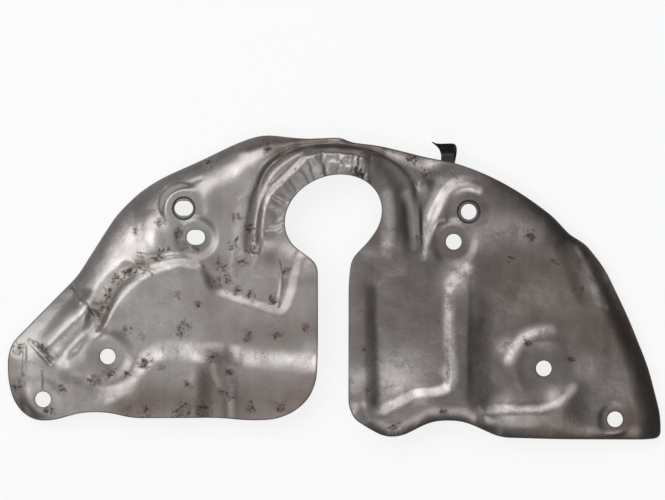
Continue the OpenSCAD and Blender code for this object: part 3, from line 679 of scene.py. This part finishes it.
def triangulate(loops, inner, borders):
    """Triangles of the plan between its edge and its holes, through all the given points."""
    pts = np.vstack(loops + [inner])
    rings = []
    start = 0
    for loop in loops:
        n = len(loop)
        rings += [(start + i, start + (i + 1) % n) for i in range(n)]
        start += n
    res = delaunay_2d_cdt([Vector(p) for p in pts], rings, [], 0, 1e-5)
    out = np.array([pts[ids[0]] if ids else p[:] for p, ids in zip(res[0], res[3])])
    place = np.full(len(pts), -1)
    for i, ids in enumerate(res[3]):
        place[ids] = i
    tris = np.array(res[2])
    mid = out[tris].mean(axis=1)
    keep = inside(mid[:, 0], mid[:, 1], borders[0])
    for hole in borders[1:]:
        keep &= ~inside(mid[:, 0], mid[:, 1], hole)
    return out, tris[keep], place


def object_from(name, verts, faces):
    """A piece that rides with the shield."""
    mesh = bpy.data.meshes.new(name)
    mesh.from_pydata(verts, [], faces)
    mesh.update()
    piece = bpy.data.objects.new(name, mesh)
    bpy.context.scene.collection.objects.link(piece)
    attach(piece, "root")
    return piece


# Shader maths
class Val:
    """One socket of a shader, with the operators that its maths needs."""

    def __init__(self, shader, socket):
        self.shader = shader
        self.socket = socket

    def maths(self, operation, *values):
        return self.shader.node("ShaderNodeMath", {"operation": operation}, dict(enumerate(values)))

    def __add__(self, other):
        return self.maths("ADD", self, other)

    __radd__ = __add__

    def __sub__(self, other):
        return self.maths("SUBTRACT", self, other)

    def __rsub__(self, other):
        return self.maths("SUBTRACT", other, self)

    def __mul__(self, other):
        return self.maths("MULTIPLY", self, other)

    __rmul__ = __mul__

    def above(self, other):
        """The larger of the two."""
        return self.maths("MAXIMUM", self, other)

    def size(self):
        """Its size without the sign."""
        return self.maths("ABSOLUTE", self)

    def clamped(self):
        """Held between 0 and 1."""
        return self.maths("MAXIMUM", self.maths("MINIMUM", self, 1.0), 0.0)


class Finish:
    """The nodes of a material or of the world, built in code."""

    def __init__(self, owner):
        owner.use_nodes = True
        self.owner = owner
        self.tree = owner.node_tree
        self.tree.nodes.clear()

    def node(self, kind, settings=None, inputs=None, out=0):
        """Adds a node: its type, its settings, then the values or links of its sockets."""
        node = self.tree.nodes.new(kind)
        for key, value in (settings or {}).items():
            if key == "stops":
                ramp = node.color_ramp
                while len(ramp.elements) < len(value):
                    ramp.elements.new(0.5)
                for element, (place, colour) in zip(ramp.elements, value):
                    element.position = place
                    element.color = (*colour, 1)
            else:
                setattr(node, key, value)
        for key, value in (inputs or {}).items():
            if isinstance(value, Val):
                self.tree.links.new(value.socket, node.inputs[key])
            else:
                node.inputs[key].default_value = value
        return Val(self, node.outputs[out])

    def place(self):
        """Places in the shield's own frame."""
        return self.node("ShaderNodeTexCoord", out="Object")

    def attribute(self, name):
        """A number painted on the points of the mesh."""
        return self.node("ShaderNodeAttribute", {"attribute_name": name}, out="Fac")

    def noise(self, scale, detail=4.0, roughness=0.5, distortion=0.0, stretch=None):
        """Noise over the shield, drawn out where a stretch along x, y and z is given."""
        place = self.place()
        if stretch:
            place = self.node("ShaderNodeMapping", {}, {"Vector": place, "Scale": stretch})
        values = {"Vector": place, "Scale": scale, "Detail": detail}
        values.update({"Roughness": roughness, "Distortion": distortion})
        return self.node("ShaderNodeTexNoise", {}, values)

    def step(self, value, low, high):
        """0 below low, 1 above high and smooth between."""
        values = {"Value": value, "From Min": low, "From Max": high}
        return self.node("ShaderNodeMapRange", {"interpolation_type": "SMOOTHSTEP"}, values)

    def mix(self, share, a, b, blend="MIX"):
        """Two colours by share."""
        settings = {"data_type": "RGBA", "blend_type": blend}
        first, second = (c if isinstance(c, Val) else (*c, 1) for c in (a, b))
        return self.node("ShaderNodeMix", settings, {0: share, 6: first, 7: second}, out=2)

    def bump(self, height, strength, distance, normal=None):
        """A fine relief, over another where one is given."""
        values = {"Height": height, "Strength": strength, "Distance": distance}
        if normal:
            values["Normal"] = normal
        return self.node("ShaderNodeBump", {}, values)

    def surface(self, shader, output="ShaderNodeOutputMaterial"):
        """Ends the nodes in the output of the material or the world."""
        end = self.tree.nodes.new(output)
        self.tree.links.new(shader.socket, end.inputs["Surface"])


class ShieldFinishSettings(bpy.types.PropertyGroup):
    """Colours of the shield."""

    steel: FloatVectorProperty(
        name="Steel", description="Coated steel of the left lobe",
        subtype="COLOR", size=3, default=(0.335, 0.305, 0.30), min=0, max=1,
    )
    grey: FloatVectorProperty(
        name="Grey steel", description="Steel where the coat is greener and duller",
        subtype="COLOR", size=3, default=(0.285, 0.275, 0.26), min=0, max=1,
    )
    # A real brown tint of the right lobe, made darker still as painted shade where the light falls off to
    # the right
    brown: FloatVectorProperty(
        name="Browned steel", description="Darker, browner steel of the right lobe",
        subtype="COLOR", size=3, default=(0.13, 0.114, 0.109), min=0, max=1,
    )
    film: FloatVectorProperty(
        name="Film", description="Brown film from heat and dirt",
        subtype="COLOR", size=3, default=(0.105, 0.074, 0.059), min=0, max=1,
    )
    # Painted highlight: the brighter steel laid where highlights fall
    rubbed: FloatVectorProperty(
        name="Rubbed steel", description="Steel where it is rubbed bright",
        subtype="COLOR", size=3, default=(0.52, 0.485, 0.475), min=0, max=1,
    )
    rust: FloatVectorProperty(
        name="Rust", description="Thin rust round the specks",
        subtype="COLOR", size=3, default=(0.13, 0.088, 0.07), min=0, max=1,
    )
    # Also the colour of the painted shade in the crevices, round the bushes and along the edges
    soot: FloatVectorProperty(
        name="Soot", description="Soot, specks and packed dirt",
        subtype="COLOR", size=3, default=(0.03, 0.022, 0.018), min=0, max=1,
    )
    clip: FloatVectorProperty(
        name="Clip", description="Black clip",
        subtype="COLOR", size=3, default=(0.004, 0.004, 0.004), min=0, max=1,
    )
    clip_worn: FloatVectorProperty(
        name="Worn clip", description="Clip where its black is rubbed thin",
        subtype="COLOR", size=3, default=(0.05, 0.045, 0.042), min=0, max=1,
    )


class ShieldSheetSettings(bpy.types.PropertyGroup):
    """Sizes of the sheet and the clip."""

    thickness: FloatProperty(
        name="Thickness", description="Thickness of the sheet",
        default=0.0008, min=0.0003, unit="LENGTH",
    )
    spacing: FloatProperty(
        name="Spacing", description="Spacing of the mesh on the outer face",
        default=0.0009, min=0.0005, unit="LENGTH",
    )
    back_spacing: FloatProperty(
        name="Back spacing", description="Spacing of the mesh on the back",
        default=0.002, min=0.0005, unit="LENGTH",
    )
    clip_thickness: FloatProperty(
        name="Clip thickness", description="Thickness of the clip's strip",
        default=0.00075, min=0.0003, unit="LENGTH",
    )
    clip_spacing: FloatProperty(
        name="Clip spacing", description="Spacing of the mesh on the clip's outer face",
        default=0.00035, min=0.0001, unit="LENGTH",
    )
    clip_back_spacing: FloatProperty(
        name="Clip back spacing", description="Spacing of the mesh on the clip's back",
        default=0.0006, min=0.0001, unit="LENGTH",
    )


class ShieldStageSettings(bpy.types.PropertyGroup):
    """Camera, lamps and floor."""

    camera_height: FloatProperty(
        name="Camera height", description="Height of the camera over the floor",
        default=2.5, min=0.5, unit="LENGTH",
    )
    key_power: FloatProperty(
        name="Key lamp", description="Power of the lamp at the upper left",
        default=5.4, min=0, unit="POWER",
    )
    top_power: FloatProperty(
        name="Top lamp", description="Power of the lamp above the shield",
        default=2.6, min=0, unit="POWER",
    )
    low_power: FloatProperty(
        name="Low lamp", description="Power of the lamp below the shield",
        default=2.6, min=0, unit="POWER",
    )
    floor: FloatVectorProperty(
        name="Floor", description="Colour of the floor",
        subtype="COLOR", size=3, default=(0.93, 0.93, 0.93), min=0, max=1,
    )


def sheet_finish(colours):
    """Coated steel with rust specks, brown film, dirt with painted shade in the crevices, a browned right
    lobe darkened by painted shade, and painted highlights.
    """
    m = Finish(bpy.data.materials.new("sheet_metal_worn"))
    left, rust, film = m.attribute("left"), m.attribute("rust"), m.attribute("film")
    dirt_and_shade_share, rubbed = m.attribute("dirt"), m.attribute("rubbed")
    cloud = m.noise(26, 5, 0.6)
    cloth = m.noise(95, 5, 0.6, 0.4)
    fine = m.noise(1100, 3, 0.6)
    streak = m.noise(1, 3, 0.55, 0, (170, 14, 14))
    grain = m.noise(620, 5, 0.7, 0.6)
    clump = m.noise(260, 3, 0.6, 1.0)
    curl = m.noise(240, 1.5, 0.5, 1.2)

    # The coat in soft clouds, browned and darkened as painted shade on the right, under film, and with
    # painted highlights in places
    base = m.mix(m.step(cloud, 0.38, 0.62), tuple(colours.steel), tuple(colours.grey))
    # Right lobe browned, and darkened as painted shade of the light falling off to the right
    browned_and_shaded = ((1 - left) * (0.8 + (cloth - 0.5) * 1.0 + (cloud - 0.5) * 0.8)).clamped()
    base = m.mix(browned_and_shaded, base, tuple(colours.brown))
    brown = (film * (0.6 + cloth * 0.8)).clamped()
    base = m.mix(brown * 0.75, base, tuple(colours.film))
    # Painted highlight: brighter steel along the forms, broken up by noise
    highlight_mask = (rubbed * m.step(cloth + (fine - 0.5) * 0.3, 0.25, 0.55)).clamped()
    base = m.mix(highlight_mask * (0.5 + (1 - left) * 0.35), base, tuple(colours.rubbed))

    # Rust: blots, fine dots and curled hairs, with halos and smudges round them
    blot = m.step(grain * 0.5 + clump * 0.5 + rust * 0.125, 0.63, 0.67) * m.step(rust, 0.15, 0.6)
    sand = m.noise(820, 2, 0.5) * 0.7 + cloth * 0.3 + rust * 0.05 + left * 0.02
    dots = m.step(sand, 0.685, 0.715)
    near_rust = m.step(rust + (clump - 0.5) * 1.6, 0.45, 0.75)
    hair = (1 - m.step((curl - 0.5).size(), 0.004, 0.016)) * near_rust
    halo = m.step(grain * 0.35 + clump * 0.65 + rust * 0.2, 0.56, 0.72) * rust
    specks = (blot * 0.82).above(dots * 0.55).above(hair * 0.6)
    smudge = m.step(cloth * 0.6 + clump * 0.4 + rust * 0.12, 0.56, 0.66) * m.step(rust, 0.3, 0.8)
    base = m.mix((halo * 0.5).above(smudge * 0.6), base, tuple(colours.rust))
    base = m.mix(specks, base, tuple(colours.soot))
    # Dirt and painted shade in the crevices, round the bushes and along the cut edges
    base = m.mix((dirt_and_shade_share * (0.6 + cloth * 0.8)).clamped() * 0.85, base, tuple(colours.soot))

    # Slight changes of tone, rougher where it is dull, and fine pits, grit and dents
    tone = 1 + (fine - 0.5) * 0.3 + (cloth - 0.5) * 0.3 + (streak - 0.5) * 0.3 + (cloud - 0.5) * 0.5
    shade = m.node("ShaderNodeCombineColor", {}, {0: tone, 1: tone, 2: tone})
    base = m.mix(1.0, base, shade, "MULTIPLY")
    dull = (specks + halo * 0.5 + dirt_and_shade_share).clamped()
    rough = 0.33 + (cloud - 0.5) * 0.15 + (fine - 0.5) * 0.12 + dull * 0.3 + brown * 0.1 - highlight_mask * 0.05
    pits = m.bump(1 - specks, 0.3, 0.0003)
    grit = m.bump(m.noise(1500, 3, 0.7), 0.1, 0.0003, pits)
    dents = m.bump(m.noise(60, 4, 0.5), 0.12, 0.004, grit)
    values = {"Base Color": base, "Metallic": 1 - dull * 0.7, "Roughness": rough.clamped(), "Normal": dents}
    m.surface(m.node("ShaderNodeBsdfPrincipled", {}, values))
    return m.owner


def clip_finish(colours):
    """Satin black, rubbed thin in clouds."""
    m = Finish(bpy.data.materials.new("clip_black"))
    cloud = m.noise(180, 5, 0.6)
    base = m.mix(m.step(cloud, 0.55, 0.75), tuple(colours.clip), tuple(colours.clip_worn))
    grit = m.bump(m.noise(1500, 3), 0.1, 0.0002)
    values = {"Base Color": base, "Roughness": 0.32 + cloud * 0.2, "Normal": grit}
    m.surface(m.node("ShaderNodeBsdfPrincipled", {}, values))
    return m.owner


def floor_finish(colour):
    """A pale floor that looks white and keeps the shield's shadow."""
    m = Finish(bpy.data.materials.new("floor_pale"))
    lit = m.node("ShaderNodeBsdfDiffuse", {}, {"Color": (*colour, 1)})
    white = m.node("ShaderNodeEmission", {}, {"Color": (1, 1, 1, 1), "Strength": 1.0})
    rays = ("Camera", "Glossy", "Transmission")
    seen = [m.node("ShaderNodeLightPath", out=f"Is {ray} Ray") for ray in rays]
    share = (seen[0] + seen[1] + seen[2]).clamped() * FLOOR_WHITE
    m.surface(m.node("ShaderNodeMixShader", {}, {0: share, 1: lit, 2: white}))
    return m.owner


def off_borders(x, y, borders):
    """Distance to the nearest of some closed borders."""
    return np.min([np.abs(offsets(x, y, np.vstack([b, b[:1]]))) for b in borders], axis=0)


def plate(name, borders, rings, steps, height, thickness, round_by):
    """A sheet of metal: borders are its edge and holes, steps the point spacing of face and back."""
    edge = borders[0]
    rounds = [inset(b, round_by if k == 0 else -round_by) for k, b in enumerate(borders)]
    loops = borders + rounds + rings
    low, high = edge.min(axis=0), edge.max(axis=0)
    layers = []
    for side, (known, step_mm) in enumerate(((loops, steps[0]), (borders, steps[1]))):
        grid = hex_points(low[0], high[0], low[1], high[1], step_mm)
        keep = inside(grid[:, 0], grid[:, 1], edge)
        for hole in borders[1:]:
            keep &= ~inside(grid[:, 0], grid[:, 1], inset(hole, -0.4) if side == 0 else hole)
        grid = grid[keep]
        grid = grid[~near_any(grid, np.vstack(known), 0.45 * step_mm + 0.1)]
        layers.append(triangulate(known, grid, borders))
    (face, face_tris, spot), (back, back_tris, back_spot) = layers
    x, y = face[:, 0], face[:, 1]
    far = off_borders(x, y, borders)
    face_z = height(x, y) - 0.6 * round_by * np.clip(1 - far / round_by, 0, 1) ** 2
    x, y, h = back[:, 0], back[:, 1], SLOPE_REACH
    rise = np.hypot(height(x + h, y) - height(x - h, y), height(x, y + h) - height(x, y - h))
    slope = rise / (2 * h)
    back_z = height(x, y) - thickness * np.sqrt(1 + np.minimum(slope, SLOPE_CAP) ** 2)
    n = len(face)
    verts = np.vstack([np.c_[face, face_z], np.c_[back, back_z]]) * MM
    faces = [tuple(int(v) for v in t) for t in face_tris]
    faces += [tuple(int(v) + n for v in t[::-1]) for t in back_tris]
    start = 0
    for k, border in enumerate(borders):
        ids = list(range(start, start + len(border)))
        start += len(border)
        for a, b in zip(ids, ids[1:] + ids[:1]):
            quad = (int(spot[a]), int(spot[b]), int(back_spot[b]) + n, int(back_spot[a]) + n)
            faces.append(quad if k else quad[::-1])
    piece = object_from(name, verts.tolist(), faces)
    piece.data.shade_smooth()
    piece.data.set_sharp_from_angle(angle=math.radians(50))
    return piece


def paint(piece, name, values):
    """One number for each point, read by the finish."""
    layer = piece.data.attributes.new(name, "FLOAT", "POINT")
    layer.data.foreach_set("value", values.astype(np.float32))


class SHIELD_OT_sheet(bpy.types.Operator):
    """Make the pressed sheet as one trimmed mesh with its rounded edges"""

    bl_idname = "shield.sheet"
    bl_label = "Pressed sheet"

    def execute(self, context):
        sizes = context.scene.shield_sheet
        borders = [outline()] + holes()
        if signed_area(borders[0]) < 0:
            borders[0] = borders[0][::-1]
        rings = [inset(b, 0.8 if k == 0 else -0.6) for k, b in enumerate(borders)]
        for px, py, *_ in PADS[:2]:
            rings += [circle(px, py, BUSH_R + gap) for gap in (0.5, 0.25, 0, -0.25)]
        rings += [both_sides(GROOVE, 0.3), both_sides(GROOVE, 0.95), both_sides(HEM_FOLD, 0.35)]
        steps = (sizes.spacing / MM, sizes.back_spacing / MM)
        thickness = sizes.thickness / MM
        piece = plate(
            "pressed_sheet_worn", borders, rings, steps, sheet_z, thickness, EDGE_ROUND
        )
        place = np.array([v.co[:] for v in piece.data.vertices]) / MM
        x, y = place[:, 0], place[:, 1]
        paint(piece, "rust", np.clip(patches(x, y, RUST), 0, 1))
        # Share of the left lobe; away from it the right lobe is browned and darkened by painted shade
        paint(piece, "left", smooth((20 - x) / 40))
        paint(piece, "film", np.maximum(patches(x, y, FILM), bands(x, y, FILM_LINES)))
        # Dirt and painted shade in the crevices, and a painted shade line along every cut edge
        paint(piece, "dirt", np.maximum(dirt(x, y), 0.6 * hump(off_borders(x, y, borders), 0.9)))
        # Painted highlights along the forms and in patches
        paint(piece, "rubbed", np.maximum(patches(x, y, PAINTED_HIGHLIGHTS), bands(x, y, HIGHLIGHT_LINES)))
        piece.data.materials.append(sheet_finish(context.scene.shield_finish))
        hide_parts("pressed_sheet")
        return {"FINISHED"}


# Edge of the clip: x, y, corner cut; its foot lies lower here, under the facet
CLIP_EDGE = [
    (50.5, 48, 0.5), (57.5, 48, 0.5), (57.5, 54.6, 1), (59.8, 60, 1), (60.2, 62.6, 1),
    (60.7, 64.6, 1), (61.15, 67.2, 1), (61.15, 70, 1), (60.2, 71.6, 0.8), (58.6, 71.9, 0.8),
    (53, 71.7, 1), (50.6, 71.9, 0.6), (48.5, 72.85, 0.2), (48.7, 72.2, 0.2), (50.4, 71, 0.6),
    (51.9, 69.6, 1), (52.8, 68, 1), (53.4, 65.8, 1), (53.1, 62.5, 1), (50.6, 55, 1),
]


CLIP_FOOT_DROP = 2.6
CLIP_BEND_RISE = 0.85


def clip_z(x, y):
    """Height of the clip's upper face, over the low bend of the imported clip."""
    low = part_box("rear_clip")[0][2] / MM + CLIP_BEND_RISE
    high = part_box("rear_clip")[1][2] / MM - CLIP_FOOT_DROP
    rows = [
        (40, high), (54, high), (55.6, high - 0.9), (61, low + 0.9), (63, low + 0.1), (65.8, low),
        (67.4, low + 0.5), (70, low + 2.4), (72.6, low + 4.5), (75, low + 6.5),
    ]
    line = flow(rows, 4)
    z = np.interp(y, line[:, 0], line[:, 1])
    return z - 0.9 * smooth((x - 59.4) / 2) * smooth((y - 62) / 3)


class SHIELD_OT_clip(bpy.types.Operator):
    """Make the black spring clip at the upper edge"""

    bl_idname = "shield.clip"
    bl_label = "Rear clip"

    def execute(self, context):
        sizes = context.scene.shield_sheet
        path = CLIP_EDGE[-1:] + CLIP_EDGE + CLIP_EDGE[:1]
        edge = respaced(np.array(bends(path)), 0.3)
        if signed_area(edge) < 0:
            edge = edge[::-1]
        rings = [inset(edge, 0.3)]
        steps = (sizes.clip_spacing / MM, sizes.clip_back_spacing / MM)
        thickness = sizes.clip_thickness / MM
        piece = plate("rear_clip_black", [edge], rings, steps, clip_z, thickness, CLIP_ROUND)
        piece.data.materials.append(clip_finish(context.scene.shield_finish))
        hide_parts("rear_clip")
        return {"FINISHED"}


# The floor's half width, its gap below the shield and how white the camera sees it
FLOOR_HALF, FLOOR_GAP = 8, 0.00005
FLOOR_WHITE = 0.82

# Lamps: name, place, aim, diameter and the setting of their power
LAMPS = [
    ("key_lamp", (-0.8, 0.42, 1.02), (-0.03, 0, 0), 1.0, "key_power"),
    ("top_lamp", (-0.05, 0.9, 1.0), (0, 0, 0), 0.75, "top_power"),
    ("low_lamp", (0.12, -0.58, 1.16), (0, 0, 0), 0.5, "low_power"),
]


def lamp(name, place, aim, size, power):
    """A round soft lamp that looks at a place."""
    data = bpy.data.lights.new(name, "AREA")
    data.shape = "DISK"
    data.size = size
    data.energy = power
    item = bpy.data.objects.new(name, data)
    item.location = place
    item.rotation_euler = (Vector(aim) - Vector(place)).to_track_quat("-Z", "Y").to_euler()
    bpy.context.scene.collection.objects.link(item)


def room():
    """Soft light all round, brightest overhead and a little to the upper left."""
    w = Finish(bpy.data.worlds.new("soft_room"))
    way = w.node("ShaderNodeTexCoord", out="Generated")
    axis = tuple(Vector((-0.32, 0.2, 0.93)).normalized())
    near = w.node("ShaderNodeVectorMath", {"operation": "DOT_PRODUCT"}, {0: way, 1: axis}, out="Value")
    level = 0.15 + 0.8 * w.step(near, 0.42, 1.0)
    w.surface(w.node("ShaderNodeBackground", {}, {"Strength": level}), "ShaderNodeOutputWorld")
    return w.owner


class SHIELD_OT_stage(bpy.types.Operator):
    """Set the floor, the lamps, the world and the camera"""

    bl_idname = "shield.stage"
    bl_label = "Stage"

    def execute(self, context):
        scene = context.scene
        stage = scene.shield_stage
        mesh = bpy.data.meshes.new("floor")
        low = CAD_BOX[0][2] - FLOOR_GAP
        half = FLOOR_HALF
        corners = [(-half, -half, low), (half, -half, low), (half, half, low), (-half, half, low)]
        mesh.from_pydata(corners, [], [(0, 1, 2, 3)])
        floor = bpy.data.objects.new("floor", mesh)
        scene.collection.objects.link(floor)
        mesh.materials.append(floor_finish(stage.floor))
        for name, place, aim, size, power in LAMPS:
            lamp(name, place, aim, size, getattr(stage, power))
        scene.world = room()
        camera = bpy.data.cameras.new("photo_camera")
        middle = (CAD_BOX[0][2] + CAD_BOX[1][2]) / 2
        camera.lens = camera.sensor_width * (stage.camera_height - middle) / (PHOTO_W * PIXEL_MM * MM)
        camera.clip_end = 50
        item = bpy.data.objects.new("photo_camera", camera)
        item.location = (PHOTO_MIDDLE[0] * MM, PHOTO_MIDDLE[1] * MM, stage.camera_height)
        scene.collection.objects.link(item)
        scene.camera = item
        scene.view_settings.view_transform = "Standard"
        return {"FINISHED"}


class SHIELD_PT_panel(bpy.types.Panel):
    """The shield's pieces and settings"""

    bl_idname = "SHIELD_PT_panel"
    bl_label = "Heat Shield"
    bl_space_type = "VIEW_3D"
    bl_region_type = "UI"
    bl_category = "Heat Shield"

    def draw(self, context):
        for group in (context.scene.shield_sheet, context.scene.shield_finish, context.scene.shield_stage):
            for name in group.__annotations__:
                self.layout.prop(group, name)
        for operator in (SHIELD_OT_sheet, SHIELD_OT_clip, SHIELD_OT_stage):
            self.layout.operator(operator.bl_idname)


CLASSES = (
    ShieldFinishSettings, ShieldSheetSettings, ShieldStageSettings,
    SHIELD_OT_sheet, SHIELD_OT_clip, SHIELD_OT_stage, SHIELD_PT_panel,
)


def register():
    """Adds the classes and the settings to Blender."""
    for cls in CLASSES:
        bpy.utils.register_class(cls)
    bpy.types.Scene.shield_finish = PointerProperty(type=ShieldFinishSettings)
    bpy.types.Scene.shield_sheet = PointerProperty(type=ShieldSheetSettings)
    bpy.types.Scene.shield_stage = PointerProperty(type=ShieldStageSettings)


def unregister():
    """Takes the settings and the classes out again."""
    del bpy.types.Scene.shield_stage
    del bpy.types.Scene.shield_sheet
    del bpy.types.Scene.shield_finish
    for cls in reversed(CLASSES):
        bpy.utils.unregister_class(cls)


def main():
    """Makes the shield and its stage."""
    register()
    bpy.ops.shield.sheet()
    bpy.ops.shield.clip()
    bpy.ops.shield.stage()


if __name__ == "__main__":
    main()
